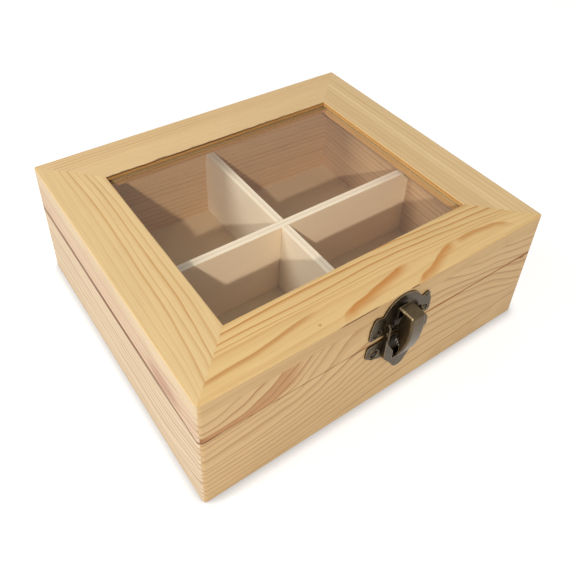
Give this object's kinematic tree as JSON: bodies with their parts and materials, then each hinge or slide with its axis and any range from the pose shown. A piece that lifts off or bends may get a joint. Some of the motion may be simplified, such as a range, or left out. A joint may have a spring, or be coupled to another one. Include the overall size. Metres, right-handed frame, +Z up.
{
  "type": "tea bag box",
  "caption": "Mitred pine box with a hinged glass-framed lid, crossed dividers forming compartments for tea bags, and a sprung bronze toggle latch in front.",
  "frame": {"origin": "centre of the underside of the base, on the floor panel's lower face", "axes": "+X to the right along the long side as seen from the latch, +Y to the back where the hinges are, +Z up"},
  "size_m": [0.2, 0.1916, 0.071],
  "materials": {
    "pine": "sanded, unvarnished",
    "plywood": "sanded",
    "glass": "clear",
    "bronze": "antique bronze",
    "spring_wire": "drawn wire"
  },
  "bodies": {
    "base": {"base_front": "pine", "base_right": "pine", "base_back": "pine", "base_left": "pine", "floor_panel": "plywood", "divider_long": "plywood", "divider_short": "plywood", "latch_housing": "bronze", "latch_nails": "bronze", "latch_pin": "bronze", "hinge_left_base_leaf": "bronze", "hinge_left_pin": "bronze", "hinge_right_base_leaf": "bronze", "hinge_right_pin": "bronze", "hinge_base_nails": "bronze"},
    "lid": {"lid_front": "pine", "lid_right": "pine", "lid_back": "pine", "lid_left": "pine", "rail_front": "pine", "rail_right": "pine", "rail_back": "pine", "rail_left": "pine", "glass_pane": "glass", "catch_plate": "bronze", "catch_nails": "bronze", "hinge_left_lid_leaf": "bronze", "hinge_right_lid_leaf": "bronze", "hinge_lid_nails": "bronze"},
    "lever": {"latch_lever": "bronze", "latch_spring": "spring_wire"}
  },
  "joints": [
    {"name": "lid_hinge", "type": "hinge", "parent": "base", "child": "lid", "pos_m": [0, 0.0897, 0.046], "axis": [-1, 0, 0], "range_deg": [0, 105]},
    {"name": "latch_lever_pivot", "type": "hinge", "parent": "base", "child": "lever", "pos_m": [0.004, -0.0904, 0.0525], "axis": [1, 0, 0], "range_deg": [0, 9.5], "stiffness_Nm_per_rad": 0.03, "springref_deg": -17.19, "deforming": ["latch_spring"]}
  ]
}
